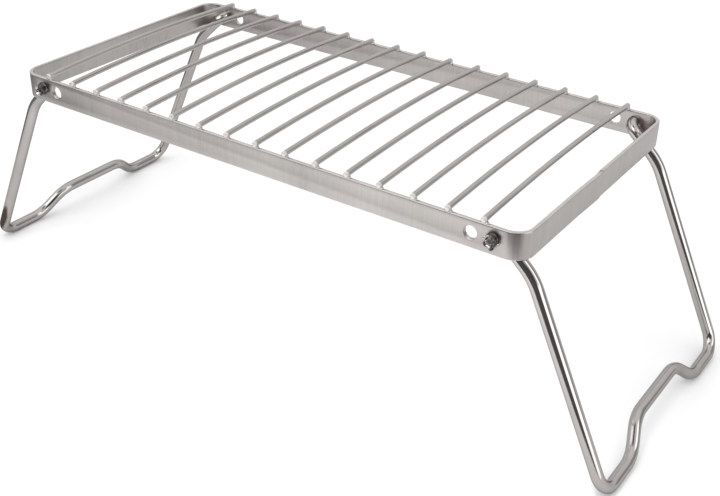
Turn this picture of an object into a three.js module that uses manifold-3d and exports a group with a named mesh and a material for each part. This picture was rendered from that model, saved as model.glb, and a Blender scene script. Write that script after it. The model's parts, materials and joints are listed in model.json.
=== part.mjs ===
// Folding camp grill: a flat steel strap bent into a rounded rectangle, sixteen cooking rods
// welded across it, and two legs, each one bent rod that hinges in a pair of holes.
// Millimetres, +Z up. The origin is on the ground under the middle of the open grill.
// +X runs along the frame to its right end, and +Y runs across to its far rail.

import * as THREE from 'three';
import Module from 'manifold-3d';
import { mergeVertices } from 'three/addons/utils/BufferGeometryUtils.js';

// Frame: one flat strap standing on edge, with its two ends welded together.
const FRAME_LENGTH = 450;
const FRAME_WIDTH = 225;
const FRAME_TOP = 180;
const STRAP_HEIGHT = 20;
const STRAP_THICKNESS = 3;
const STRAP_EDGE_RADIUS = 0.9;
const CORNER_RADIUS = 14;

// Seam: the weld that closes the strap, in the middle of the right end.
const SEAM_GAP = 2.2;
const SEAM_WELD_WIDTH = 1.5;
const SEAM_WELD_PROUD = 0.3;

// Cooking rods: they rest on the strap's top edge and arch slightly upwards.
const ROD_COUNT = 16;
const ROD_PITCH = 26;
const ROD_DIAMETER = 4;
const ROD_ARCH = 3.4;
const ROD_SEAT_GAP = 0.05;
const ROD_STEPS = 8;
const ROD_SEGMENTS = 6;

// Holes: each end of each long rail has a pivot hole and a spare hole beside it.
const HOLE_DIAMETER = 9.6;
const HOLE_BELOW_TOP = 9.3;
const PIVOT_HOLE_FROM_END = 22.8;
const HOLE_SPACING = 15.6;

// Legs: the rod leaves its pivot hole, runs down under the end of the frame as an arm,
// splays out to the ground, and crosses to the other side as a base bar.
const LEG_DIAMETER = 9;
const ARM_ANGLE = 42.5;
const ARM_LENGTH = 35;
const ARM_HALF_SPAN = 102.3;
const LEG_SPLAY = 25.4;
const FOOT_HALF_SPAN = 104.4;
const FOOT_LENGTH = 46.5;
const BRIDGE_HALF_SPAN = 35.7;
const BRIDGE_RISE = 20.6;

// Bend radii of the leg's centre line.
const PIVOT_BEND = 7;
const ARM_BEND = 45;
const FOOT_BEND = 15;
const BRIDGE_BEND = 26;

// Under load the pivot pin sits against the upper inner side of its larger hole.
const PIN_REST_IN = 0.1;
const PIN_REST_UP = 0.15;

// Pin ends: the rod is split with a chisel and spread, so that it can't pull back.
const PIN_PROUD = 5.6;
const EAR_SPAN = 11.8;
const EAR_WIDTH = 7.4;
const EAR_THICKNESS = 3.4;
const EAR_BEVEL = 0.6;
const CHISEL_DEPTH = 2.2;
const CHISEL_WIDTH = 2.6;

// Facets: a full circle has twice as many sides as its segments.
const ROUND_SEGMENTS = 8;
const HOLE_SEGMENTS = 32;
const DEGREES_PER_SECTION = 15;

const PIVOT_X = FRAME_LENGTH / 2 - PIVOT_HOLE_FROM_END - PIN_REST_IN;
const PIVOT_Z = FRAME_TOP - HOLE_BELOW_TOP + PIN_REST_UP;
const FOOT_Z = LEG_DIAMETER / 2;

const wasm = await Module();
wasm.setup();

const strapSteel = new THREE.MeshStandardMaterial({ color: 0xb0aca8, roughness: 0.42, metalness: 1 });
const rodSteel = new THREE.MeshStandardMaterial({ color: 0xb4b0ab, roughness: 0.36, metalness: 1 });
const legSteel = new THREE.MeshStandardMaterial({ color: 0xbcb8b4, roughness: 0.24, metalness: 1 });
const weldSteel = new THREE.MeshStandardMaterial({ color: 0x8f8a86, roughness: 0.55, metalness: 1 });

function toSolid(geometry) {
  const bare = geometry.clone();
  bare.deleteAttribute('normal');
  bare.deleteAttribute('uv');
  const merged = mergeVertices(bare, 1e-4);
  const mesh = new wasm.Mesh({
    numProp: 3,
    vertProperties: new Float32Array(merged.attributes.position.array),
    triVerts: new Uint32Array(merged.index.array),
  });
  return new wasm.Manifold(mesh);
}

function toGeometry(solid) {
  const mesh = solid.getMesh();
  const geometry = new THREE.BufferGeometry();
  geometry.setAttribute('position', new THREE.BufferAttribute(mesh.vertProperties, 3));
  geometry.setIndex(new THREE.BufferAttribute(mesh.triVerts, 1));
  geometry.computeVertexNormals();
  return geometry;
}

function namedMesh(name, geometry, material, x = 0, y = 0, z = 0) {
  const mesh = new THREE.Mesh(geometry, material);
  mesh.name = name;
  mesh.position.set(x, y, z);
  return mesh;
}

function roundedRectangle(target, length, width, radius) {
  const x = length / 2 - radius;
  const y = width / 2 - radius;
  target.absarc(x, y, radius, 0, Math.PI / 2);
  target.absarc(-x, y, radius, Math.PI / 2, Math.PI);
  target.absarc(-x, -y, radius, Math.PI, Math.PI * 1.5);
  target.absarc(x, -y, radius, Math.PI * 1.5, Math.PI * 2);
  return target;
}

function circle(radius) {
  return new THREE.Shape().absarc(0, 0, radius, 0, Math.PI * 2);
}

// Frame.

function strapLoop() {
  const outline = roundedRectangle(new THREE.Shape(), FRAME_LENGTH, FRAME_WIDTH, CORNER_RADIUS);
  const inside = roundedRectangle(
    new THREE.Path(),
    FRAME_LENGTH - 2 * STRAP_THICKNESS,
    FRAME_WIDTH - 2 * STRAP_THICKNESS,
    CORNER_RADIUS - STRAP_THICKNESS,
  );
  outline.holes.push(inside);
  const loop = new THREE.ExtrudeGeometry(outline, {
    depth: STRAP_HEIGHT - 2 * STRAP_EDGE_RADIUS,
    bevelThickness: STRAP_EDGE_RADIUS,
    bevelSize: STRAP_EDGE_RADIUS,
    bevelOffset: -STRAP_EDGE_RADIUS,
    bevelSegments: 3,
    curveSegments: ROUND_SEGMENTS,
  });
  loop.translate(0, 0, FRAME_TOP - STRAP_HEIGHT + STRAP_EDGE_RADIUS);
  return loop;
}

// One drill passes through both long rails, so a hole's cutter spans the whole frame.
function railDrill(x) {
  const radius = HOLE_DIAMETER / 2;
  const drill = new THREE.CylinderGeometry(radius, radius, 1.2 * FRAME_WIDTH, HOLE_SEGMENTS);
  drill.translate(x, 0, FRAME_TOP - HOLE_BELOW_TOP);
  return drill;
}

function seamCut() {
  const cut = new THREE.BoxGeometry(4 * STRAP_THICKNESS, SEAM_GAP, 2 * STRAP_HEIGHT);
  cut.translate(FRAME_LENGTH / 2, 0, FRAME_TOP);
  return cut;
}

function frameBand() {
  const pivotX = FRAME_LENGTH / 2 - PIVOT_HOLE_FROM_END;
  let band = toSolid(strapLoop()).subtract(toSolid(seamCut()));
  for (const side of [-1, 1]) {
    for (const x of [pivotX, pivotX - HOLE_SPACING]) {
      band = band.subtract(toSolid(railDrill(side * x)));
    }
  }
  return namedMesh('frame_band', toGeometry(band), strapSteel);
}

function seamWeld() {
  const section = new THREE.Shape();
  section.absellipse(0, 0, STRAP_THICKNESS / 2 + SEAM_WELD_PROUD, SEAM_WELD_WIDTH / 2, 0, Math.PI * 2);
  const bead = new THREE.ExtrudeGeometry(section, {
    depth: STRAP_HEIGHT,
    bevelEnabled: false,
    curveSegments: ROUND_SEGMENTS,
  });
  const x = FRAME_LENGTH / 2 - STRAP_THICKNESS / 2;
  return namedMesh('seam_weld', bead, weldSteel, x, 0, FRAME_TOP - STRAP_HEIGHT);
}

// Cooking rods.

function rodGeometry() {
  const arch = new THREE.QuadraticBezierCurve3(
    new THREE.Vector3(0, -FRAME_WIDTH / 2, 0),
    new THREE.Vector3(0, 0, 2 * ROD_ARCH),
    new THREE.Vector3(0, FRAME_WIDTH / 2, 0),
  );
  return new THREE.ExtrudeGeometry(circle(ROD_DIAMETER / 2), {
    steps: ROD_STEPS,
    extrudePath: arch,
    curveSegments: ROD_SEGMENTS,
  });
}

function cookingRods() {
  const geometry = rodGeometry();
  const z = FRAME_TOP + ROD_DIAMETER / 2 + ROD_SEAT_GAP;
  const rods = [];
  for (let i = 0; i < ROD_COUNT; i += 1) {
    const x = (i - (ROD_COUNT - 1) / 2) * ROD_PITCH;
    const number = String(i + 1).padStart(2, '0');
    rods.push(namedMesh(`grill_rod_${number}`, geometry, rodSteel, x, 0, z));
  }
  return rods;
}

// Legs.

// The centre line of a bent rod: straight runs joined by circular bends, with a section
// at each end of a run and evenly through each bend.
class BentRodCurve extends THREE.Curve {
  constructor(corners, bendRadii) {
    super();
    this.sections = [];
    const first = corners[0];
    this.addSection(first, corners[1].clone().sub(first).normalize());
    for (let i = 1; i < corners.length - 1; i += 1) {
      this.addBend(corners[i - 1], corners[i], corners[i + 1], bendRadii[i - 1]);
    }
    const last = corners[corners.length - 1];
    this.addSection(last, last.clone().sub(corners[corners.length - 2]).normalize());
  }

  addSection(point, tangent) {
    this.sections.push({ point, tangent });
  }

  addBend(before, corner, after, radius) {
    const arriving = corner.clone().sub(before).normalize();
    const leaving = after.clone().sub(corner).normalize();
    const turn = arriving.angleTo(leaving);
    const axis = arriving.clone().cross(leaving).normalize();
    const start = corner.clone().addScaledVector(arriving, -radius * Math.tan(turn / 2));
    const centre = start.clone().addScaledVector(axis.clone().cross(arriving), radius);
    const steps = Math.ceil(THREE.MathUtils.radToDeg(turn) / DEGREES_PER_SECTION);
    for (let i = 0; i <= steps; i += 1) {
      const angle = (turn * i) / steps;
      const spoke = start.clone().sub(centre).applyAxisAngle(axis, angle);
      this.addSection(spoke.add(centre), arriving.clone().applyAxisAngle(axis, angle));
    }
  }

  getPoint(t, target = new THREE.Vector3()) {
    const last = this.sections.length - 1;
    const index = Math.min(Math.floor(t * last), last - 1);
    const from = this.sections[index].point;
    const to = this.sections[index + 1].point;
    return target.lerpVectors(from, to, t * last - index);
  }

  getTangent(t, target = new THREE.Vector3()) {
    const index = Math.round(t * (this.sections.length - 1));
    return target.copy(this.sections[index].tangent);
  }

  getUtoTmapping(u) {
    return u;
  }
}

// Corners of one leg, measured from its pivot axis, from the near pin to the far pin.
function legCorners() {
  const arm = THREE.MathUtils.degToRad(ARM_ANGLE);
  const splay = THREE.MathUtils.degToRad(LEG_SPLAY);
  const kneeX = ARM_LENGTH * Math.cos(arm);
  const kneeZ = -ARM_LENGTH * Math.sin(arm);
  const footZ = FOOT_Z - PIVOT_Z;
  const footX = kneeX + (kneeZ - footZ) * Math.tan(splay);
  const bridgeX = footX - BRIDGE_RISE * Math.sin(splay);
  const bridgeZ = footZ + BRIDGE_RISE * Math.cos(splay);
  const half = [
    [0, FRAME_WIDTH / 2 + PIN_PROUD - EAR_THICKNESS / 2, 0],
    [0, ARM_HALF_SPAN, 0],
    [kneeX, ARM_HALF_SPAN, kneeZ],
    [footX, FOOT_HALF_SPAN, footZ],
    [footX, FOOT_HALF_SPAN - FOOT_LENGTH, footZ],
    [bridgeX, BRIDGE_HALF_SPAN, bridgeZ],
  ];
  const near = half.map(([x, y, z]) => new THREE.Vector3(x, -y, z));
  const far = half.map(([x, y, z]) => new THREE.Vector3(x, y, z));
  return near.concat(far.reverse());
}

// A spread pin end, seen along the pin: an upright ear with round ends.
function pinEar(side) {
  const radius = EAR_WIDTH / 2;
  const middle = EAR_SPAN / 2 - radius;
  const outline = new THREE.Shape();
  outline.absarc(0, middle, radius, 0, Math.PI);
  outline.absarc(0, -middle, radius, Math.PI, Math.PI * 2);
  const ear = new THREE.ExtrudeGeometry(outline, {
    depth: EAR_THICKNESS - 2 * EAR_BEVEL,
    bevelThickness: EAR_BEVEL,
    bevelSize: EAR_BEVEL,
    bevelOffset: -EAR_BEVEL,
    bevelSegments: 1,
    curveSegments: ROUND_SEGMENTS,
  });
  ear.translate(0, 0, -EAR_THICKNESS / 2 + EAR_BEVEL);
  ear.rotateX(Math.PI / 2);
  ear.translate(0, side * (FRAME_WIDTH / 2 + PIN_PROUD - EAR_THICKNESS / 2), 0);
  return ear;
}

// The chisel's mark: a V groove across the pin's end face.
function chiselMark(side) {
  const outline = new THREE.Shape();
  outline.moveTo(-CHISEL_DEPTH, 0);
  outline.lineTo(CHISEL_DEPTH, -CHISEL_WIDTH);
  outline.lineTo(CHISEL_DEPTH, CHISEL_WIDTH);
  outline.closePath();
  const mark = new THREE.ExtrudeGeometry(outline, { depth: 2 * EAR_WIDTH, bevelEnabled: false });
  mark.translate(0, 0, -EAR_WIDTH);
  mark.rotateY(-Math.PI / 2);
  mark.rotateX(side * Math.PI / 2);
  mark.translate(0, side * (FRAME_WIDTH / 2 + PIN_PROUD), 0);
  return mark;
}

function legGeometry() {
  const half = [PIVOT_BEND, ARM_BEND, FOOT_BEND, BRIDGE_BEND, BRIDGE_BEND];
  const centreLine = new BentRodCurve(legCorners(), half.concat([...half].reverse()));
  const rod = new THREE.ExtrudeGeometry(circle(LEG_DIAMETER / 2), {
    steps: centreLine.sections.length - 1,
    extrudePath: centreLine,
    curveSegments: ROUND_SEGMENTS,
  });
  let leg = toSolid(rod);
  for (const side of [-1, 1]) {
    leg = leg.add(toSolid(pinEar(side))).subtract(toSolid(chiselMark(side)));
  }
  return toGeometry(leg);
}

function legs() {
  const geometry = legGeometry();
  const right = namedMesh('leg_right', geometry, legSteel, PIVOT_X, 0, PIVOT_Z);
  const left = namedMesh('leg_left', geometry, legSteel, -PIVOT_X, 0, PIVOT_Z);
  left.rotation.z = Math.PI;
  return [left, right];
}

const grill = new THREE.Group();
grill.add(frameBand());
grill.add(seamWeld());
grill.add(...cookingRods());
grill.add(...legs());

export default grill;
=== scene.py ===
"""Looks of the folding camp grill: strap frame, cooking rods, welds, bent-rod legs, studio."""

import json
import math
import random

import bmesh
import bpy
from mathutils import Matrix, Vector


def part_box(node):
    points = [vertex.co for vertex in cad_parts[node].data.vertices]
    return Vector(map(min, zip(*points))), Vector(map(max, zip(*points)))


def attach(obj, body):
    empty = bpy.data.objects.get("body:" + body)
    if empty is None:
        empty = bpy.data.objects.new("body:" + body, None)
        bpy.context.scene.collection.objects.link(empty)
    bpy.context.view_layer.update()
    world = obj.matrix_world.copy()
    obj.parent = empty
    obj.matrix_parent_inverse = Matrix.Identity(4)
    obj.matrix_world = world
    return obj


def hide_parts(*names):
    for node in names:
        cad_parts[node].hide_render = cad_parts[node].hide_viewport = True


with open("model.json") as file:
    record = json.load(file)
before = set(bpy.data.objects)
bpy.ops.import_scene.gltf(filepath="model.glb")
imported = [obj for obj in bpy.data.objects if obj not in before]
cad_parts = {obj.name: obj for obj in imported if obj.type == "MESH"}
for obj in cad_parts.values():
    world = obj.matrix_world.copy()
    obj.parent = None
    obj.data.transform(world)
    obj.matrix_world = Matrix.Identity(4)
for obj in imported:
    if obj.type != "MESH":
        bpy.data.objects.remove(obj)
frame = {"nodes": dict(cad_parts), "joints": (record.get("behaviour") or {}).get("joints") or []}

MM = 0.001
X_AXIS = Vector((1, 0, 0))
Z_AXIS = Vector((0, 0, 1))
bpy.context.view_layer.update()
rng = random.Random(16)

# Sizes read from the frame.
band_low, band_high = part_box("frame_band")
HALF_LENGTH = band_high.x
HALF_WIDTH = band_high.y
FRAME_TOP = band_high.z
STRAP_HEIGHT = band_high.z - band_low.z
ROD_NODES = sorted(name for name in frame["nodes"] if name.startswith("grill_rod"))
rod_low, rod_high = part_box(ROD_NODES[0])
ROD_RADIUS = (rod_high.x - rod_low.x) / 2
ROD_SEAT = rod_low.z - FRAME_TOP
ROD_ARCH = rod_high.z - rod_low.z - 2 * ROD_RADIUS
PIVOTS = {joint["child"]: Vector(joint["pos_m"]) for joint in frame["joints"]}
PIVOT_X = PIVOTS["right_leg"].x
PIVOT_Z = PIVOTS["right_leg"].z

# Strap.
STRAP_THICKNESS = 3 * MM
STRAP_EDGE_RADIUS = 0.9 * MM
CORNER_RADIUS = 14 * MM
STRAP_EDGE_STEPS = 6
CORNER_STEPS = 20
END_RUN_STEPS = 12
END_RUN_CROWDING = 1.6
SUPPORT = 0.12 * MM

# Seam in the right end: a narrow gap, one side a little low, closed by a rippled bead.
SEAM_GAP = 1.2 * MM
SEAM_DROP = 1.0 * MM
SEAM_DROP_REACH = 42 * MM
BEAD_HALF_WIDTH = 1.55 * MM
BEAD_PROUD_INSIDE = 0.55 * MM
BEAD_PROUD_OUTSIDE = 0.16 * MM
BEAD_INSET = 0.12 * MM
BEAD_ABOVE_BOTTOM = 0.2 * MM
BEAD_BELOW_TOP = 0.75 * MM
BEAD_RIPPLE = 0.07
BEAD_RIPPLES = 19
BEAD_UNEVENNESS = 0.03
BEAD_END_WIDTH = 0.35
BEAD_END_SHARPNESS = 10
BEAD_STEPS = 44
BEAD_SIDES = 28

# Holes: the pin rests against the upper inner side of its larger hole.
HOLE_RADIUS = 4.8 * MM
HOLE_CHAMFER = 0.6 * MM
HOLE_INNER_CHAMFER = 0.2 * MM
HOLE_SPACING = 15.6 * MM
HOLE_SIDES = 72
HOLE_RIM_ANGLE = math.radians(60)
HOLE_CHAMFER_STEPS = 3
HOLE_CHAMFER_PROFILE = 0.6
PIN_REST_IN = 0.1 * MM
PIN_REST_UP = 0.15 * MM

# Cooking rods, with rounded rims and slightly domed ends.
ROD_RIM = 0.7 * MM
ROD_RIM_STEPS = 5
ROD_DOME = 0.12 * MM
ROD_STEPS = 28
ROD_SIDES = 32

# Welds under the rods. A weld starts on the rod's flanks, this many degrees from level.
WELD_FLARE = 1.1 * MM
WELD_FLARE_CHANGE = (0.75, 1.25)
WELD_RISE_RANGE = (-22, -8)
WELD_END_DROOP = 30
WELD_SHIFT = 0.12 * MM
WELD_OVERRUN = 0.5 * MM
WELD_END_INSET = 0.25 * MM
WELD_TOP_SINK = 0.97
WELD_BEND_SINK = 0.99
WELD_BEND_HEIGHT = 0.25 * MM
WELD_TOE_DEPTH = 0.05 * MM
WELD_ROOT_DEPTH = 0.5 * MM
WELD_ROOT_FLARE = 0.4
WELD_STEPS = 8
WELD_CURVE_STEPS = 8

# Legs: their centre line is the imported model's, so a change there has to be made here too.
LEG_RADIUS = 4.5 * MM
ARM_ANGLE = math.radians(42.5)
ARM_LENGTH = 35 * MM
ARM_HALF_SPAN = 102.3 * MM
LEG_SPLAY = math.radians(25.4)
FOOT_HALF_SPAN = 104.4 * MM
FOOT_LENGTH = 46.5 * MM
BRIDGE_HALF_SPAN = 35.7 * MM
BRIDGE_RISE = 20.6 * MM
PIVOT_BEND = 7 * MM
ARM_BEND = 45 * MM
FOOT_BEND = 15 * MM
BRIDGE_BEND = 26 * MM

# Staked pin ends: a hollow crown of spread petals on a ridged shank.
PIN_PROUD = 5.6 * MM
EAR_DEPTH = 2.2 * MM
CRATER_DEPTH = 2.4 * MM
SPLIT_DEPTH = 1.9 * MM
CROWN_RADIUS = 4.2 * MM
CROWN_SPREAD = 1.4 * MM
CROWN_ROUNDING = 0.5 * MM
PETAL_FULLNESS = 0.6
PIN_NECK_RADIUS = 4.1 * MM
PIN_RIDGE = 0.2 * MM
PIN_RIDGE_PITCH = 1.0 * MM
PIN_SHANK_INSIDE = 0.4 * MM
PIN_BAR_INSIDE = 0.9 * MM
PIN_SHANK_STEPS = 26
PIN_TAPER_FROM = 0.85
# Tone the pin keeps where its oxide and painted shade are darkest.
PIN_OXIDE_AND_SHADE = 0.14
CRATER_RADIUS = 2.2 * MM

# Crown rings as shares of its rim: the crater's floor, its wall and the rounded rim.
CRATER_FLOOR_SHARES = (0.1, 0.22, 0.34, 0.44)
CRATER_FLOOR_DISH = 0.12
CRATER_WALL_FROM = 0.44
CRATER_WALL_WIDTH = 0.42
CRATER_WALL_TOP = 0.93
CRATER_WALL_CURVE = 1.4
CRATER_WALL_STEPS = 6
CROWN_RIM_FROM = 0.9
CROWN_RIM_STEPS = 4
CROWN_NECK_SHARES = (0.3, 0.6, 0.85, 1.0)

# Petals of the crown: centre and half width in degrees, height as a share of the tallest.
CROWN_PETALS = ((98, 34, 1.0), (150, 26, 0.75), (228, 36, 0.55), (300, 36, 1.0), (20, 24, 0.35))

RING_SIDES = 48
BEND_STEP = math.radians(5)
STRAIGHT_STEP = 6 * MM
MERGE_DISTANCE = 0.01 * MM

# Edges that turn more than this are shaded as sharp.
SHARP_ANGLE = math.radians(40)
STRAP_SHARP_ANGLE = math.radians(25)
LEG_SHARP_ANGLE = math.radians(50)

# Steels: how much light each returns, and the two casts that stainless steel drifts between.
STRAP_TONE = 0.45
# How much lighter the strap's upward- and downward-facing rims are painted: a painted highlight.
RIM_PAINTED_HIGHLIGHT = 0.14
RIM_ROUGHNESS = 0.22
ROD_TONE = 0.45
# Painted highlight: the tone of the rod ends over the rails, where the end caps catch light.
LIT_END_TONE = 0.78
GROUND_ROUGHNESS = 0.45
WELD_TONE = 0.56
LEG_TONE = 0.47
ROSY_CAST = (1.06, 0.99, 0.97, 1)
OLIVE_CAST = (1.035, 1.0, 0.955, 1)
RELIEF = 0.05 * MM
NOISE_LOW = 0.3
NOISE_HIGH = 0.7
BRUSHING = (1, 1, 0.035)
DRAWING = (1, 0.02, 1)
DRAWING_ALONG_UV = (0.02, 1, 1)
ANISOTROPY = 0.35
# Reach of the rod ends' rougher, lighter-painted part, in from the rails' outer faces.
ROD_GROUND_AND_LIT_FROM = 2.6 * MM
ROD_GROUND_AND_LIT_FULL = 0.8 * MM

# A painted reflection of dark floor: a brown patch on the outside of the near left foot. Its height
# on the leg, how far it lies from the leg's centre line, and its half sizes.
FOOT_REFLECTION_HEIGHT = 23.5 * MM
FOOT_REFLECTION_OFFSET = Vector((-0.4, -6.1, 0)) * MM
FOOT_REFLECTION_SIZE = Vector((5.0, 6, 17)) * MM
FOOT_REFLECTION_COLOUR = (0.036, 0.024, 0.013, 1)
FOOT_REFLECTION_FADE_FROM = 0.7
FOOT_REFLECTION_FADE_TO = 1.05
FOOT_REFLECTION_COVER = 0.95

# Studio: the floor, the table-sized part of it that steel reflects, which has its near right corner
# cut off, and how bright the room is to the eye, as daylight and in polished steel.
FLOOR_HALF_SIZE = 4.0
FLOOR_CELLS = 8
FLOOR_WHITE = 0.88
FLOOR_MOTTLE = 0.01
TABLE_WHITE = 0.7
TABLE_LEFT = 0.56
TABLE_RIGHT = 0.8
TABLE_FRONT = 1.0
TABLE_BACK = 1.6
TABLE_SOFT = 0.03
TABLE_CORNER_TURN = math.radians(-47.7)
TABLE_CORNER = 0.44
BACKDROP = 1.05
DAYLIGHT = 1.22
ROOM_WALL = 0.88
ROOM_CEILING = 1.0
ROOM_CEILING_LIFT = (40, 75)

# Spot light on the floor in front of the near rail.
SPOT_PLACE = Vector((0.05, -0.62, 1.2))
SPOT_TARGET = Vector((0.05, -0.35, 0))
SPOT_POWER = 46
SPOT_ANGLE = math.radians(38)
SPOT_RADIUS = 0.12

# What polished steel sees round it. Each patch is a turn from and to, a lift from and to and a
# softness, all in degrees, then a brightness. A later patch covers an earlier one.
ROOM_PATCHES = (
    (-190, -118, -95, 2, 6, 0.3),
    (165, 190, -95, 2, 6, 0.3),
    (-118, -28, -95, 20, 6, 0.12),
    (-118, -28, -95, -22, 5, 0.34),
    (-72, -20, 10, 38, 5, 0.1),
    (-175, -140, 30, 57, 4, 1.3),
    (-140, -74, 30, 57, 4, 2.5),
    (-110, -45, 61, 78, 4, 0.12),
    (22, 56, -10, 38, 6, 0.42),
    (-23, 13, -5, 14, 5, 2.5),
    (3, 24, 8, 50, 4, 2.4),
)

# Camera: where it stands from the middle of the frame's top, and how it is turned.
CAMERA_OFFSET = Vector((470.3, -654.5, 333.9)) * MM
CAMERA_BACK = Vector((0.48321, -0.71491, 0.50539))
CAMERA_ROLL = math.radians(1.19)
CAMERA_LENS = 55.93
SENSOR_WIDTH = 36


# Meshes.

def add_object(name, data):
    """Puts an object for this data in the scene."""
    obj = bpy.data.objects.new(name, data)
    bpy.context.scene.collection.objects.link(obj)
    return obj


def mesh_object(name, verts, faces, uvs=None):
    """A smooth-shaded mesh object whose vertices are in the row frame."""
    mesh = bpy.data.meshes.new(name)
    mesh.from_pydata([tuple(v) for v in verts], [], faces)
    if uvs:
        layer = mesh.uv_layers.new(name="along_and_around")
        for loop, uv in zip(layer.data, uvs):
            loop.uv = uv
    mesh.validate()
    bm = bmesh.new()
    bm.from_mesh(mesh)
    bmesh.ops.recalc_face_normals(bm, faces=bm.faces)
    bm.to_mesh(mesh)
    bm.free()
    mesh.shade_smooth()
    mesh.set_sharp_from_angle(angle=SHARP_ANGLE)
    return add_object(name, mesh)


def apply_modifiers(obj):
    """Bakes the object's modifiers into its mesh."""
    graph = bpy.context.evaluated_depsgraph_get()
    baked = bpy.data.meshes.new_from_object(obj.evaluated_get(graph))
    obj.modifiers.clear()
    obj.data = baked


def finish_piece(obj, body, slot, material, *nodes):
    """Gives a piece its material and its body, and hides the nodes it stands for."""
    obj.data.materials.clear()
    obj.data.materials.append(material)
    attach(obj, body)
    if nodes:
        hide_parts(*nodes)


def ring(centre, side, up, radius_at, sides=RING_SIDES):
    """Points round a centre. radius_at gives the radius at each angle."""
    points = []
    for k in range(sides):
        angle = 2 * math.pi * k / sides
        radius = radius_at(angle)
        points.append(centre + side * (radius * math.cos(angle)) + up * (radius * math.sin(angle)))
    return points


def skin(rings, start_cap=None, end_cap=None):
    """Joins rings of equal count into one surface, with fans to a cap point at either end."""
    sides = len(rings[0])
    verts = [point for points in rings for point in points]
    along = [0.0]
    for before, after in zip(rings, rings[1:]):
        step = sum(((a - b).length for a, b in zip(after, before)), 0.0) / sides
        along.append(along[-1] + step)
    middle = rings[len(rings) // 2]
    girth = sum((middle[k] - middle[k - 1]).length for k in range(sides))
    faces = []
    uvs = []
    for r in range(len(rings) - 1):
        this = r * sides
        following = this + sides
        for k in range(sides):
            nxt = (k + 1) % sides
            faces.append((this + k, this + nxt, following + nxt, following + k))
            v0 = girth * k / sides
            v1 = girth * (k + 1) / sides
            uvs += [(along[r], v0), (along[r], v1), (along[r + 1], v1), (along[r + 1], v0)]
    for cap, row, flip in ((start_cap, 0, True), (end_cap, len(rings) - 1, False)):
        if cap is None:
            continue
        verts.append(cap)
        for k in range(sides):
            a = row * sides + k
            b = row * sides + (k + 1) % sides
            faces.append((b, a, len(verts) - 1) if flip else (a, b, len(verts) - 1))
            uvs += [(along[row], girth * k / sides)] * 3
    return verts, faces, uvs


# Strap.

def quarters(x, y):
    """The corners of a rectangle, anticlockwise from the one where both are positive."""
    return (x, y), (-x, y), (-x, -y), (x, -y)


def strap_section():
    """Outline of the strap: (outward, up) from its middle, anticlockwise, with rounded edges.

    A support point close to each rounding keeps the flat sides flat when they are shaded smooth.
    """
    half_t = STRAP_THICKNESS / 2 - STRAP_EDGE_RADIUS
    half_h = STRAP_HEIGHT / 2 - STRAP_EDGE_RADIUS
    outline = []
    for quarter, (t, h) in enumerate(quarters(half_t, half_h)):
        arc = []
        for k in range(STRAP_EDGE_STEPS + 1):
            angle = math.pi / 2 * (quarter + k / STRAP_EDGE_STEPS)
            outward = Vector((math.cos(angle), math.sin(angle)))
            arc.append(Vector((t, h)) + outward * STRAP_EDGE_RADIUS)
        outline.append(arc[0] + (arc[0] - arc[1]).normalized() * SUPPORT)
        outline += arc
        outline.append(arc[-1] + (arc[-1] - arc[-2]).normalized() * SUPPORT)
    return outline


def strap_path():
    """Stations (point, outward) round the strap's middle line, from one side of the seam on."""
    radius = CORNER_RADIUS - STRAP_THICKNESS / 2
    x = HALF_LENGTH - CORNER_RADIUS
    y = HALF_WIDTH - CORNER_RADIUS
    outer_x = HALF_LENGTH - STRAP_THICKNESS / 2
    shares = [(k / END_RUN_STEPS) ** END_RUN_CROWDING for k in range(END_RUN_STEPS)]
    shares.append(1 - SUPPORT / y)
    end_run = [SEAM_GAP / 2 + (y - SEAM_GAP / 2) * share for share in shares]
    stations = [(Vector((outer_x, across, 0)), X_AXIS) for across in end_run]
    for quarter, (cx, cy) in enumerate(quarters(x, y)):
        corner = []
        for k in range(CORNER_STEPS + 1):
            angle = math.pi / 2 * (quarter + k / CORNER_STEPS)
            outward = Vector((math.cos(angle), math.sin(angle), 0))
            corner.append((Vector((cx, cy, 0)) + outward * radius, outward))
        if quarter > 0:
            first, outward = corner[0]
            stations.append((first + outward.cross(Z_AXIS) * SUPPORT, outward))
        stations += corner
        if quarter < 3:
            last, outward = corner[-1]
            stations.append((last - outward.cross(Z_AXIS) * SUPPORT, outward))
    return stations + [(Vector((outer_x, -across, 0)), X_AXIS) for across in reversed(end_run)]


def seam_drop(point):
    """The near end of the strap sits a little low where it meets the seam."""
    if point.x < HALF_LENGTH - CORNER_RADIUS or point.y > 0:
        return 0.0
    share = min(1.0, -point.y / SEAM_DROP_REACH)
    return SEAM_DROP * (1 - share) ** 2 * (1 + 2 * share)


def build_strap(material):
    outline = strap_section()
    middle = Vector((0, 0, FRAME_TOP - STRAP_HEIGHT / 2))
    rings = []
    for point, outward in strap_path():
        base = point + middle - Vector((0, 0, seam_drop(point)))
        rings.append([base + outward * u + Vector((0, 0, w)) for u, w in outline])
    verts, faces, _ = skin(rings)
    count = len(outline)
    last = (len(rings) - 1) * count
    faces.append(tuple(range(count)))
    faces.append(tuple(last + k for k in reversed(range(count))))
    strap = mesh_object("strap_frame", verts, faces)
    cut_holes(strap)
    soften_hole_edges(strap)
    finish_piece(strap, "grate", "strap_steel", material, "frame_band")


def hole_centres():
    pivot = PIVOT_X + PIN_REST_IN
    return [side * x for side in (-1, 1) for x in (pivot, pivot - HOLE_SPACING)]


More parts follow.
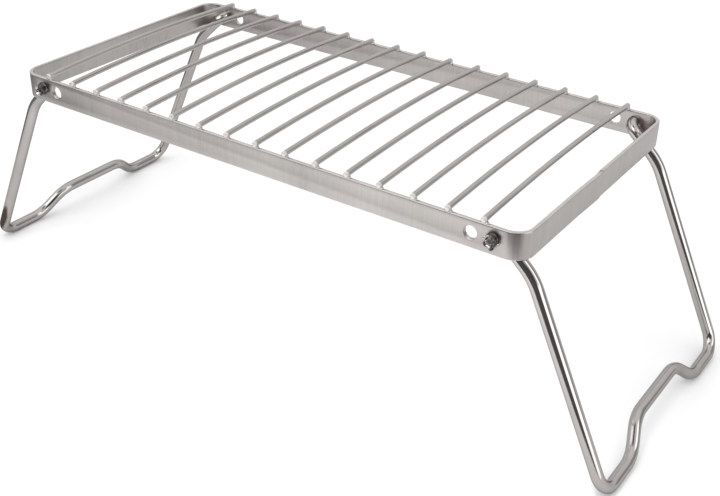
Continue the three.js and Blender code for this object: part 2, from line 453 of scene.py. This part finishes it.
def cut_holes(strap):
    """Drills all eight holes: each drill passes through both long rails."""
    bm = bmesh.new()
    lying = Matrix.Rotation(math.pi / 2, 4, "X")
    for x in hole_centres():
        place = Matrix.Translation((x, 0, PIVOT_Z - PIN_REST_UP)) @ lying
        bmesh.ops.create_cone(
            bm, cap_ends=True, segments=HOLE_SIDES, radius1=HOLE_RADIUS, radius2=HOLE_RADIUS,
            depth=3 * HALF_WIDTH, matrix=place,
        )
    mesh = bpy.data.meshes.new("drills")
    bm.to_mesh(mesh)
    bm.free()
    drills = add_object("drills", mesh)
    cut = strap.modifiers.new("holes", "BOOLEAN")
    cut.operation = "DIFFERENCE"
    cut.solver = "EXACT"
    cut.object = drills
    apply_modifiers(strap)
    bpy.data.objects.remove(drills)


def hole_rims(bm, across):
    """The sharp edges that lie in the plane this far across the frame, on both rails."""
    shared = [edge for edge in bm.edges if len(edge.link_faces) == 2]
    sharp = [edge for edge in shared if edge.calc_face_angle() > HOLE_RIM_ANGLE]
    return [
        edge for edge in sharp
        if all(abs(abs(vert.co.y) - across) < SUPPORT for vert in edge.verts)
    ]


def soften_hole_edges(strap):
    """Chamfers the hole rims: widely outside the rails, and only just inside them."""
    bm = bmesh.new()
    bm.from_mesh(strap.data)
    for depth, offset in ((0, HOLE_CHAMFER), (STRAP_THICKNESS, HOLE_INNER_CHAMFER)):
        bmesh.ops.bevel(
            bm, geom=hole_rims(bm, HALF_WIDTH - depth), offset=offset, offset_type="OFFSET",
            segments=HOLE_CHAMFER_STEPS, profile=HOLE_CHAMFER_PROFILE, affect="EDGES",
            clamp_overlap=False,
        )
    bmesh.ops.recalc_face_normals(bm, faces=bm.faces)
    bm.to_mesh(strap.data)
    bm.free()
    strap.data.shade_smooth()
    strap.data.set_sharp_from_angle(angle=STRAP_SHARP_ANGLE)


# Seam weld.

def build_seam_weld(material):
    """A dressed bead: nearly flush outside and on top, standing a little proud inside."""
    middle_x = HALF_LENGTH - STRAP_THICKNESS / 2 - BEAD_INSET
    low = FRAME_TOP - STRAP_HEIGHT + BEAD_ABOVE_BOTTOM - SEAM_DROP / 2
    high = FRAME_TOP - BEAD_BELOW_TOP
    rings = []
    for k in range(BEAD_STEPS + 1):
        share = k / BEAD_STEPS
        ripple = 1 + BEAD_RIPPLE * math.sin(share * BEAD_RIPPLES * 2 * math.pi)
        ripple += rng.uniform(-BEAD_UNEVENNESS, BEAD_UNEVENNESS)
        full = math.sqrt(max(0.0, 1 - (2 * share - 1) ** BEAD_END_SHARPNESS))
        shrink = min(1.0, full + BEAD_END_WIDTH)
        centre = Vector((middle_x, 0, low + (high - low) * share))
        rings.append(bead_ring(centre, BEAD_HALF_WIDTH * ripple * shrink, shrink))
    ends = [sum(points, Vector()) / len(points) for points in (rings[0], rings[-1])]
    verts, faces, uvs = skin(rings, *ends)
    bead = mesh_object("seam_bead", verts, faces, uvs)
    finish_piece(bead, "grate", "weld_steel", material, "seam_weld")


def bead_ring(centre, half_width, shrink):
    """A ring of the bead, which stands further out of the strap inside than outside."""
    inside = (STRAP_THICKNESS / 2 + BEAD_PROUD_INSIDE) * shrink
    outside = (STRAP_THICKNESS / 2 + BEAD_PROUD_OUTSIDE) * shrink
    points = []
    for k in range(BEAD_SIDES):
        angle = 2 * math.pi * k / BEAD_SIDES
        reach = outside if math.cos(angle) > 0 else inside
        points.append(centre + Vector((reach * math.cos(angle), half_width * math.sin(angle), 0)))
    return points


# Cooking rods.

def rod_height(y):
    """Height of a rod's axis: it arches up between the rails."""
    share = y / HALF_WIDTH
    return FRAME_TOP + ROD_SEAT + ROD_RADIUS + ROD_ARCH * (1 - share * share)


def rod_slope(y):
    return -2 * ROD_ARCH * y / HALF_WIDTH ** 2


def rod_ring(x, y, radius):
    tangent = Vector((0, 1, rod_slope(y))).normalized()
    up = X_AXIS.cross(tangent)
    return ring(Vector((x, y, rod_height(y))), X_AXIS, up, lambda a: radius, ROD_SIDES)


def build_rod(name, x, material):
    """One rod with rounded rims, as rings from its near end to its far end."""
    near = []
    for k in range(ROD_RIM_STEPS, -1, -1):
        angle = math.pi / 2 * k / ROD_RIM_STEPS
        y = -HALF_WIDTH + ROD_RIM * (1 - math.sin(angle))
        near.append((y, ROD_RADIUS - ROD_RIM * (1 - math.cos(angle))))
    inner = HALF_WIDTH - ROD_RIM
    body = [(-inner + 2 * inner * k / ROD_STEPS, ROD_RADIUS) for k in range(1, ROD_STEPS)]
    far = [(-y, radius) for y, radius in reversed(near)]
    rings = [rod_ring(x, y, radius) for y, radius in near + body + far]
    tip = HALF_WIDTH + ROD_DOME
    caps = [Vector((x, side * tip, rod_height(HALF_WIDTH))) for side in (-1, 1)]
    verts, faces, uvs = skin(rings, *caps)
    rod = mesh_object(name.replace("grill_rod", "cooking_rod"), verts, faces, uvs)
    finish_piece(rod, "grate", "rod_steel", material, name)


def weld_outline(x, z, flare, rise):
    """Cross-section of a weld under a rod: concave fillets from the rod's flanks to the strap."""
    seat = -ROD_RADIUS - ROD_SEAT
    start = math.radians(rise)
    sunk = ROD_RADIUS * WELD_TOP_SINK
    points = []
    for side in (1, -1):
        top = Vector((side * sunk * math.cos(start), 0, sunk * math.sin(start)))
        toe = Vector((side * (ROD_RADIUS + flare), 0, seat - WELD_TOE_DEPTH))
        bend = Vector((side * ROD_RADIUS * WELD_BEND_SINK, 0, seat + WELD_BEND_HEIGHT))
        curve = []
        for k in range(WELD_CURVE_STEPS + 1):
            t = k / WELD_CURVE_STEPS
            curve.append(top * (1 - t) ** 2 + bend * (2 * t * (1 - t)) + toe * t ** 2)
        root_x = side * (ROD_RADIUS + flare * WELD_ROOT_FLARE)
        curve.append(Vector((root_x, 0, seat - WELD_ROOT_DEPTH)))
        points.append(curve)
    right, left = points
    return [Vector((x, 0, z)) + p for p in right + left[::-1]]


def build_weld(x, side, index, material):
    """The fused metal between a rod and the strap, at the near (-1) or far (1) rail."""
    flare = WELD_FLARE * rng.uniform(*WELD_FLARE_CHANGE)
    rise = rng.uniform(*WELD_RISE_RANGE)
    shift = rng.uniform(-WELD_SHIFT, WELD_SHIFT)
    outer = side * (HALF_WIDTH - WELD_END_INSET)
    inner = side * (HALF_WIDTH - STRAP_THICKNESS - WELD_OVERRUN)
    rings = []
    for k in range(WELD_STEPS + 1):
        share = k / WELD_STEPS
        y = outer + (inner - outer) * share
        full = math.sqrt(max(0.02, 1 - abs(2 * share - 1) ** 3))
        droop = WELD_END_DROOP * (1 - full)
        outline = weld_outline(x + shift, rod_height(y), flare * full, rise - droop)
        rings.append([p + Vector((0, y, 0)) for p in (outline if side < 0 else outline[::-1])])
    ends = [sum(points, Vector()) / len(points) for points in (rings[0], rings[-1])]
    verts, faces, uvs = skin(rings, *ends)
    rail = "near" if side < 0 else "far"
    weld = mesh_object(f"rod_weld_{rail}_{index:02d}", verts, faces, uvs)
    finish_piece(weld, "grate", "weld_steel", material)


# Legs.

def leg_corners():
    """Corners of a leg's centre line, from its near pin to the middle of its bridge."""
    knee = Vector((ARM_LENGTH * math.cos(ARM_ANGLE), 0, -ARM_LENGTH * math.sin(ARM_ANGLE)))
    foot_z = LEG_RADIUS - PIVOT_Z
    foot = Vector((knee.x + (knee.z - foot_z) * math.tan(LEG_SPLAY), 0, foot_z))
    bridge = foot + Vector((-math.sin(LEG_SPLAY), 0, math.cos(LEG_SPLAY))) * BRIDGE_RISE
    return [
        Vector((0, -HALF_WIDTH - PIN_PROUD + EAR_DEPTH, 0)),
        Vector((0, -ARM_HALF_SPAN, 0)),
        Vector((knee.x, -ARM_HALF_SPAN, knee.z)),
        Vector((foot.x, -FOOT_HALF_SPAN, foot.z)),
        Vector((foot.x, -FOOT_HALF_SPAN + FOOT_LENGTH, foot.z)),
        Vector((bridge.x, -BRIDGE_HALF_SPAN, bridge.z)),
        Vector((bridge.x, 0, bridge.z)),
    ]


def bent_path(corners, radii):
    """Stations (point, tangent) along straight runs joined by circular bends."""
    stations = [(corners[0], (corners[1] - corners[0]).normalized())]
    for before, corner, after, radius in zip(corners, corners[1:], corners[2:], radii):
        arriving = (corner - before).normalized()
        leaving = (after - corner).normalized()
        turn = arriving.angle(leaving)
        axis = arriving.cross(leaving).normalized()
        start = corner - arriving * (radius * math.tan(turn / 2))
        centre = start + axis.cross(arriving) * radius
        add_straight(stations, start, arriving)
        steps = max(2, math.ceil(turn / BEND_STEP))
        for k in range(steps + 1):
            spin = Matrix.Rotation(turn * k / steps, 3, axis)
            stations.append((centre + spin @ (start - centre), spin @ arriving))
    tangent = (corners[-1] - corners[-2]).normalized()
    add_straight(stations, corners[-1], tangent)
    stations.append((corners[-1], tangent))
    return stations


def add_straight(stations, end, tangent):
    """Fills a straight run with evenly spaced stations, short of its end."""
    start = stations[-1][0]
    count = math.floor((end - start).length / STRAIGHT_STEP)
    for k in range(1, count + 1):
        stations.append((start.lerp(end, k / (count + 1)), tangent))


def carried_frames(stations, side):
    """Carries a side direction along the stations without twisting it."""
    frames = []
    for point, tangent in stations:
        side = (side - tangent * side.dot(tangent)).normalized()
        frames.append((point, side, side.cross(tangent)))
    return frames


def petal(angle):
    """How far the crown of the pin stands out at an angle: one on a petal, nothing in a split."""
    reach = 0.0
    for centre, half_width, height in CROWN_PETALS:
        away = abs(math.remainder(angle - math.radians(centre), 2 * math.pi))
        off = away / math.radians(half_width)
        if off < 1:
            reach = max(reach, height * math.cos(math.pi / 2 * off) ** PETAL_FULLNESS)
    return reach


def crown_ring(face_y, share, back, crater):
    """A ring of the crown: share of the rim's radius, how far back it lies, how hollow it is."""
    def radius_at(angle):
        return share * (CROWN_RADIUS + CROWN_SPREAD * petal(angle))

    points = ring(Vector((0, face_y + back + crater * CRATER_DEPTH, 0)), X_AXIS, Z_AXIS, radius_at)
    drop = SPLIT_DEPTH * (1 - crater) * max(0.0, 1 - back / EAR_DEPTH)
    sides = len(points)
    return [
        point + Vector((0, drop * (1 - petal(2 * math.pi * k / sides)) * share ** 2, 0))
        for k, point in enumerate(points)
    ]


def shank_ring(y, radius):
    """A round ring of the pin's shank."""
    return ring(Vector((0, y, 0)), X_AXIS, Z_AXIS, lambda a: radius)


def pin_rings(face_y):
    """Rings from the hollow middle of the pin's crown out over its rim and back along its shank."""
    rings = []
    for share in CRATER_FLOOR_SHARES:
        rings.append(crown_ring(face_y, share, 0, 1 - CRATER_FLOOR_DISH * share))
    for k in range(1, CRATER_WALL_STEPS + 1):
        climb = k / CRATER_WALL_STEPS
        hollow = CRATER_WALL_TOP * (1 - climb) ** CRATER_WALL_CURVE
        rings.append(crown_ring(face_y, CRATER_WALL_FROM + CRATER_WALL_WIDTH * climb, 0, hollow))
    for k in range(1, CROWN_RIM_STEPS + 1):
        angle = math.pi / 2 * k / CROWN_RIM_STEPS
        share = CROWN_RIM_FROM + (1 - CROWN_RIM_FROM) * math.sin(angle)
        rings.append(crown_ring(face_y, share, CROWN_ROUNDING * (1 - math.cos(angle)), 0))
    neck = face_y + EAR_DEPTH
    for share in CROWN_NECK_SHARES:
        ease = share * share * (3 - 2 * share)
        back = CROWN_ROUNDING + (EAR_DEPTH - CROWN_ROUNDING) * share
        spread = crown_ring(face_y, 1.0, back, 0)
        round_shank = shank_ring(face_y + back, PIN_NECK_RADIUS)
        rings.append([a.lerp(b, ease) for a, b in zip(spread, round_shank)])
    shank_end = -HALF_WIDTH + PIN_SHANK_INSIDE
    for k in range(1, PIN_SHANK_STEPS + 1):
        share = k / PIN_SHANK_STEPS
        y = neck + (shank_end - neck) * share
        ridge = PIN_RIDGE * math.sin(2 * math.pi * (y - neck) / PIN_RIDGE_PITCH)
        taper = max(0.0, (share - PIN_TAPER_FROM) / (1 - PIN_TAPER_FROM))
        radius = PIN_NECK_RADIUS + ridge * (1 - taper) + (LEG_RADIUS - PIN_NECK_RADIUS) * taper
        rings.append(shank_ring(y, radius))
    return rings


def half_leg_rings():
    """Rings of a leg from its near pin to its bridge's middle, and the crater's lowest point."""
    radii = [PIVOT_BEND, ARM_BEND, FOOT_BEND, BRIDGE_BEND, BRIDGE_BEND]
    corners = leg_corners()
    face_y = -HALF_WIDTH - PIN_PROUD
    rings = pin_rings(face_y)
    corners[0] = Vector((0, -HALF_WIDTH + PIN_BAR_INSIDE, 0))
    stations = bent_path(corners, radii)
    for point, side, up in carried_frames(stations, X_AXIS):
        rings.append(ring(point, side, up, lambda a: LEG_RADIUS))
    return rings, Vector((0, face_y + CRATER_DEPTH, 0))


def build_leg(name, node, body, material):
    """One bent rod: half of it is built from the near pin, then mirrored to the far side."""
    rings, tip = half_leg_rings()
    verts, faces, uvs = skin(rings, start_cap=tip)
    leg = mesh_object(name, verts, faces, uvs)
    bm = bmesh.new()
    bm.from_mesh(leg.data)
    geometry = bm.verts[:] + bm.edges[:] + bm.faces[:]
    bmesh.ops.mirror(
        bm, geom=geometry, matrix=Matrix.Identity(4), merge_dist=MERGE_DISTANCE, axis="Y",
    )
    bmesh.ops.recalc_face_normals(bm, faces=bm.faces)
    pivot = PIVOTS[body]
    turn = Matrix.Rotation(math.pi if pivot.x < 0 else 0, 4, "Z")
    bm.transform(Matrix.Translation(pivot) @ turn)
    bm.to_mesh(leg.data)
    bm.free()
    leg.data.shade_smooth()
    leg.data.set_sharp_from_angle(angle=LEG_SHARP_ANGLE)
    finish_piece(leg, body, "leg_steel", material, node)


# Materials.

class Nodes:
    """Small helper that adds and links shader nodes in one node tree."""

    def __init__(self, tree):
        self.tree = tree

    def add(self, kind, inputs=None, **settings):
        node = self.tree.nodes.new(kind)
        for key, value in settings.items():
            setattr(node, key, value)
        for key, value in (inputs or {}).items():
            self.feed(value, node.inputs[key])
        return node

    def feed(self, value, socket):
        if isinstance(value, bpy.types.NodeSocket):
            self.tree.links.new(value, socket)
        else:
            socket.default_value = value

    def math(self, operation, a, b=0.0, clamp=False):
        node = self.add("ShaderNodeMath", {0: a, 1: b}, operation=operation, use_clamp=clamp)
        return node.outputs[0]

    def total(self, first, *others):
        for other in others:
            first = self.math("ADD", first, other)
        return first

    def product(self, first, *others):
        for other in others:
            first = self.math("MULTIPLY", first, other)
        return first

    def stretched(self, coordinates, stretch):
        return self.add("ShaderNodeMapping", {"Vector": coordinates, "Scale": stretch}).outputs[0]

    def noise(self, coordinates, scale, detail=3.0, stretch=(1, 1, 1), roughness=0.55):
        node = self.add(
            "ShaderNodeTexNoise",
            {"Vector": self.stretched(coordinates, stretch), "Scale": scale, "Detail": detail,
             "Roughness": roughness},
        )
        return node.outputs["Fac"]

    def remap(self, value, low, high, to_low, to_high, smooth=False):
        node = self.add(
            "ShaderNodeMapRange",
            {"Value": value, "From Min": low, "From Max": high,
             "To Min": to_low, "To Max": to_high},
            interpolation_type="SMOOTHSTEP" if smooth else "LINEAR",
        )
        return node.outputs["Result"]

    def spread(self, noise, low, high):
        """Stretches noise, most of which lies in a middle band, over a range."""
        return self.remap(noise, NOISE_LOW, NOISE_HIGH, low, high)

    def swing(self, noise, amount):
        """A change driven by noise, of up to this much either way."""
        return self.spread(noise, -amount, amount)

    def window(self, value, low, high, soft):
        """One between low and high, fading to nothing outside over a soft margin."""
        rise = self.remap(value, low - soft, low + soft, 0, 1, True)
        fall = self.remap(value, high - soft, high + soft, 1, 0, True)
        return self.product(rise, fall)

    def lerp(self, factor, a, b):
        """Mixes two values. A mix node's value sockets are numbers 2 and 3."""
        return self.add("ShaderNodeMix", {0: factor, 2: a, 3: b}, data_type="FLOAT").outputs[0]

    def mix(self, factor, a, b, blend="MIX"):
        """Mixes two colours. A mix node's colour sockets are numbers 6 and 7."""
        node = self.add(
            "ShaderNodeMix", {0: factor, 6: a, 7: b}, data_type="RGBA", blend_type=blend,
        )
        return node.outputs[2]

    def grey(self, value):
        return self.add("ShaderNodeCombineColor", {0: value, 1: value, 2: value}).outputs[0]

    def split(self, vector):
        return self.add("ShaderNodeSeparateXYZ", {"Vector": vector}).outputs

    def coordinates(self, kind="Object"):
        return self.add("ShaderNodeTexCoord").outputs[kind]


class Steel(Nodes):
    """A stainless steel material: tone, tint, finish and fine relief are added step by step."""

    def __init__(self, name):
        self.material = bpy.data.materials.new(name)
        self.material.use_nodes = True
        super().__init__(self.material.node_tree)
        self.shader = self.tree.nodes["Principled BSDF"]
        self.feed(1.0, self.shader.inputs["Metallic"])
        self.here = self.coordinates()

    def finish(self, tone, roughness, height, bump, tint=None):
        """Connects tone, roughness and relief. The tone drifts between a rosy and an olive grey.

        A tint is an amount and a colour, for a patch that covers the metal: here a painted
        reflection.
        """
        drift = self.noise(self.here, scale=21, detail=2, stretch=(1, 1, 0.5))
        cast = self.mix(self.remap(drift, 0.4, 0.62, 0, 1, True), ROSY_CAST, OLIVE_CAST)
        colour = self.mix(1.0, self.grey(tone), cast, "MULTIPLY")
        if tint:
            colour = self.mix(tint[0], colour, tint[1])
            bare = self.math("SUBTRACT", 1.0, tint[0])
            self.feed(bare, self.shader.inputs["Metallic"])
            self.feed(self.product(bare, 0.5), self.shader.inputs["Specular IOR Level"])
        self.feed(colour, self.shader.inputs["Base Color"])
        self.feed(roughness, self.shader.inputs["Roughness"])
        relief = self.add(
            "ShaderNodeBump", {"Height": height, "Strength": bump, "Distance": RELIEF},
        )
        self.feed(relief.outputs[0], self.shader.inputs["Normal"])
        return self.material

    def edge_shade(self, start, amount):
        """Darkens a round bar where it turns away from the eye."""
        facing = self.add("ShaderNodeLayerWeight", {"Blend": 0.5}).outputs["Facing"]
        return self.remap(facing, start, 1.0, 1.0, 1.0 - amount, True)


def strap_steel():
    """Flat bar: brushed across its height, with cloudy patches and polished rims, which are also
    painted lighter as a highlight.
    """
    s = Steel("strap_steel")
    fine = s.noise(s.here, scale=2600, detail=2, stretch=BRUSHING)
    coarse = s.noise(s.here, scale=430, detail=3, stretch=BRUSHING)
    cloud = s.noise(s.here, scale=16, detail=3, stretch=(1, 1, 0.6))
    grain = s.total(s.product(fine, 0.55), s.product(coarse, 0.45))
    tone = s.total(STRAP_TONE, s.swing(grain, 0.05), s.swing(cloud, 0.05))
    normal = s.add("ShaderNodeNewGeometry").outputs["Normal"]
    upward = s.math("ABSOLUTE", s.split(normal)[2])
    rim = s.remap(upward, 0.55, 0.95, 0, 1, True)
    # Painted highlight: the colour is lighter where the strap's faces turn up or down, as well as
    # smoother there.
    tone = s.lerp(rim, tone, s.total(tone, RIM_PAINTED_HIGHLIGHT))
    roughness = s.total(s.spread(grain, 0.27, 0.37), s.swing(cloud, 0.03))
    roughness = s.lerp(rim, roughness, RIM_ROUGHNESS)
    tangent = s.add("ShaderNodeTangent", direction_type="RADIAL", axis="Z")
    s.feed(tangent.outputs[0], s.shader.inputs["Tangent"])
    s.feed(ANISOTROPY, s.shader.inputs["Anisotropic"])
    return s.finish(tone, roughness, grain, bump=0.3)


def rod_steel():
    """Cold-drawn cooking rods: fine lines along them, and ground ends over the rails, rougher and
    painted much lighter as a highlight where the end caps catch light.
    """
    s = Steel("rod_steel")
    fine = s.noise(s.here, scale=2200, detail=2, stretch=DRAWING)
    coarse = s.noise(s.here, scale=600, detail=3, stretch=DRAWING)
    cloud = s.noise(s.here, scale=30, detail=3, stretch=(1, 0.5, 1))
    grain = s.total(s.product(fine, 0.5), s.product(coarse, 0.5))
    across = s.math("ABSOLUTE", s.split(s.here)[1])
    ground_and_lit = s.remap(across, HALF_WIDTH - ROD_GROUND_AND_LIT_FROM, HALF_WIDTH - ROD_GROUND_AND_LIT_FULL, 0, 1, True)
    tone = s.total(ROD_TONE, s.swing(grain, 0.03), s.swing(cloud, 0.045))
    # Painted highlight: the rod ends over the rails are painted much lighter.
    tone = s.product(s.lerp(ground_and_lit, tone, LIT_END_TONE), s.edge_shade(start=0.62, amount=0.45))
    roughness = s.lerp(ground_and_lit, s.spread(cloud, 0.24, 0.34), GROUND_ROUGHNESS)
    return s.finish(tone, roughness, grain, bump=0.25)


def weld_steel():
    """Weld metal: lumpy, a little paler than the bars it joins."""
    s = Steel("weld_steel")
    lumps = s.noise(s.here, scale=700, detail=4)
    cloud = s.noise(s.here, scale=60, detail=3)
    tone = s.total(WELD_TONE, s.swing(lumps, 0.07), s.swing(cloud, 0.05))
    return s.finish(tone, s.spread(lumps, 0.3, 0.46), lumps, bump=0.6)


def pin_oxide_and_shade(s):
    """Darkens the pin's shank outside the rail, its hollow crown and its right-hand petals. The
    shank is partly oxide from the staking and partly painted shade; the hollow and the right-hand
    petals are painted shade.
    """
    x, y, z = s.split(s.here)
    out = s.math("SUBTRACT", s.math("ABSOLUTE", y), HALF_WIDTH)
    shank = s.window(out, 0.2 * MM, PIN_PROUD - EAR_DEPTH, 0.3 * MM)
    off_x = s.math("SUBTRACT", s.math("ABSOLUTE", x), PIVOT_X)
    off_z = s.math("SUBTRACT", z, PIVOT_Z)
    radius = s.math("SQRT", s.total(s.product(off_x, off_x), s.product(off_z, off_z)))
    # Painted shade in the crown's hollow.
    hollow = s.remap(radius, 0.7 * CRATER_RADIUS, CRATER_RADIUS, 1, 0, True)
    # Painted shade on the pin's right-hand side.
    to_right = s.math("SUBTRACT", x, s.product(s.math("SIGN", x), PIVOT_X))
    right_side_shade = s.remap(to_right, 0.2 * MM, 1.8 * MM, 0, 0.9, True)
    dark = s.product(s.math("MAXIMUM", hollow, right_side_shade), s.remap(out, 0, 1 * MM, 0, 1))
    return s.lerp(s.math("MAXIMUM", shank, dark), 1.0, PIN_OXIDE_AND_SHADE)


def foot_reflection_reach(s):
    """Distance from the middle of the painted reflection at the left foot, one at its edge,
    measured along the sloping left leg.
    """
    knee = leg_corners()[2]
    drop = PIVOT_Z + knee.z - FOOT_REFLECTION_HEIGHT
    slope = math.tan(LEG_SPLAY)
    bar = Vector((-PIVOT_X - knee.x - drop * slope, -ARM_HALF_SPAN, FOOT_REFLECTION_HEIGHT))
    place = s.add(
        "ShaderNodeVectorMath", {0: s.here, 1: bar + FOOT_REFLECTION_OFFSET}, operation="SUBTRACT",
    )
    x, y, z = s.split(place.outputs[0])
    upright_x = s.math("SUBTRACT", x, s.product(z, slope))
    parts = zip((upright_x, y, z), FOOT_REFLECTION_SIZE)
    shares = [s.math("DIVIDE", part, size) for part, size in parts]
    return s.math("SQRT", s.total(*[s.product(share, share) for share in shares]))


def leg_steel():
    """Bright round bar: drawn lines along it, soft polish changes, a painted brown reflection at
    one foot.
    """
    s = Steel("leg_steel")
    drawn = s.noise(s.coordinates("UV"), scale=1500, detail=3, stretch=DRAWING_ALONG_UV)
    cloud = s.noise(s.here, scale=38, detail=3)
    specks = s.noise(s.here, scale=900, detail=4)
    pits = s.remap(specks, 0.62, 0.75, 0, -0.08)
    tone = s.total(LEG_TONE, s.swing(drawn, 0.025), s.swing(cloud, 0.03), pits)
    tone = s.product(tone, s.edge_shade(start=0.3, amount=0.75), pin_oxide_and_shade(s))
    # Painted reflection: a brown patch at the near left foot stands in for dark floor that it
    # reflects.
    ragged = s.total(foot_reflection_reach(s), s.swing(specks, 0.1), s.swing(drawn, 0.14))
    dark_reflection = s.remap(ragged, FOOT_REFLECTION_FADE_FROM, FOOT_REFLECTION_FADE_TO, FOOT_REFLECTION_COVER, 0, True)
    roughness = s.total(s.spread(cloud, 0.07, 0.14), s.swing(drawn, 0.02))
    return s.finish(tone, roughness, drawn, bump=0.1, tint=(dark_reflection, FOOT_REFLECTION_COLOUR))


# Studio.

def build_floor():
    """A white floor. Steel reflects only the table-sized part of it round the grill."""
    bm = bmesh.new()
    bmesh.ops.create_grid(
        bm, x_segments=FLOOR_CELLS, y_segments=FLOOR_CELLS, size=FLOOR_HALF_SIZE,
    )
    mesh = bpy.data.meshes.new("studio_floor")
    bm.to_mesh(mesh)
    bm.free()
    floor = add_object("studio_floor", mesh)
    material = bpy.data.materials.new("floor_white")
    material.use_nodes = True
    n = Nodes(material.node_tree)
    shader = n.tree.nodes["Principled BSDF"]
    here = n.coordinates()
    glossy = n.add("ShaderNodeLightPath").outputs["Is Glossy Ray"]
    mottle = n.noise(here, scale=3, detail=2)
    white = n.spread(mottle, FLOOR_WHITE - FLOOR_MOTTLE, FLOOR_WHITE + FLOOR_MOTTLE)
    n.feed(n.grey(n.lerp(glossy, white, TABLE_WHITE)), shader.inputs["Base Color"])
    n.feed(0.9, shader.inputs["Roughness"])
    n.feed(0.0, shader.inputs["Specular IOR Level"])
    x, y, _ = n.split(here)
    toward_corner = n.total(
        n.product(x, math.cos(TABLE_CORNER_TURN)), n.product(y, math.sin(TABLE_CORNER_TURN)),
    )
    inside = n.product(
        n.window(x, -TABLE_LEFT, TABLE_RIGHT, TABLE_SOFT),
        n.window(y, -TABLE_FRONT, TABLE_BACK, TABLE_SOFT),
        n.remap(toward_corner, TABLE_CORNER - TABLE_SOFT, TABLE_CORNER + TABLE_SOFT, 1, 0, True),
    )
    unseen = n.product(glossy, n.math("SUBTRACT", 1.0, inside))
    clear = n.add("ShaderNodeBsdfTransparent").outputs[0]
    mixed = n.add("ShaderNodeMixShader", {0: unseen, 1: shader.outputs[0], 2: clear})
    n.feed(mixed.outputs[0], n.tree.nodes["Material Output"].inputs["Surface"])
    mesh.materials.append(material)


def build_world():
    """A white studio to the eye. Polished steel also sees its darker corners and its window."""
    world = bpy.data.worlds.new("studio")
    bpy.context.scene.world = world
    world.use_nodes = True
    n = Nodes(world.node_tree)
    x, y, z = n.split(n.coordinates("Generated"))
    turn = n.math("DEGREES", n.math("ARCTAN2", y, x))
    lift = n.math("DEGREES", n.math("ARCSINE", z))
    room = n.remap(lift, *ROOM_CEILING_LIFT, ROOM_WALL, ROOM_CEILING, True)
    for low, high, bottom, top, soft, brightness in ROOM_PATCHES:
        patch = n.product(n.window(turn, low, high, soft), n.window(lift, bottom, top, soft))
        room = n.lerp(patch, room, brightness)
    path = n.add("ShaderNodeLightPath")
    light = n.lerp(path.outputs["Is Diffuse Ray"], room, DAYLIGHT)
    light = n.lerp(path.outputs["Is Camera Ray"], light, BACKDROP)
    background = n.tree.nodes["Background"]
    n.feed(n.grey(light), background.inputs["Color"])
    n.feed(1.0, background.inputs["Strength"])


def build_lights():
    """A soft spot on the floor in front of the grill, which the near rail reflects."""
    data = bpy.data.lights.new("front_spot", "SPOT")
    data.energy = SPOT_POWER
    data.spot_size = SPOT_ANGLE
    data.spot_blend = 1.0
    data.shadow_soft_size = SPOT_RADIUS
    spot = add_object("front_spot", data)
    spot.visible_glossy = False
    spot.location = SPOT_PLACE
    spot.rotation_mode = "QUATERNION"
    spot.rotation_quaternion = (SPOT_TARGET - SPOT_PLACE).to_track_quat("-Z", "Y")


def build_camera():
    data = bpy.data.cameras.new("camera")
    data.lens = CAMERA_LENS
    data.sensor_width = SENSOR_WIDTH
    data.clip_start = 0.01
    camera = add_object("camera", data)
    back = CAMERA_BACK.normalized()
    upright = (-back).to_track_quat("-Z", "Y").to_matrix()
    roll = Matrix.Rotation(CAMERA_ROLL, 3, back)
    camera.rotation_mode = "QUATERNION"
    camera.rotation_quaternion = (roll @ upright).to_quaternion()
    camera.location = Vector((0, 0, FRAME_TOP)) + CAMERA_OFFSET
    bpy.context.scene.camera = camera
    bpy.context.scene.view_settings.view_transform = "Standard"


def build_grill():
    strap = strap_steel()
    rods = rod_steel()
    welds = weld_steel()
    legs = leg_steel()
    build_strap(strap)
    build_seam_weld(welds)
    for index, node in enumerate(ROD_NODES, 1):
        low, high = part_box(node)
        x = (low.x + high.x) / 2
        build_rod(node, x, rods)
        build_weld(x, -1, index, welds)
        build_weld(x, 1, index, welds)
    build_leg("leg_rod_left", "leg_left", "left_leg", legs)
    build_leg("leg_rod_right", "leg_right", "right_leg", legs)


build_grill()
build_floor()
build_world()
build_lights()
build_camera()
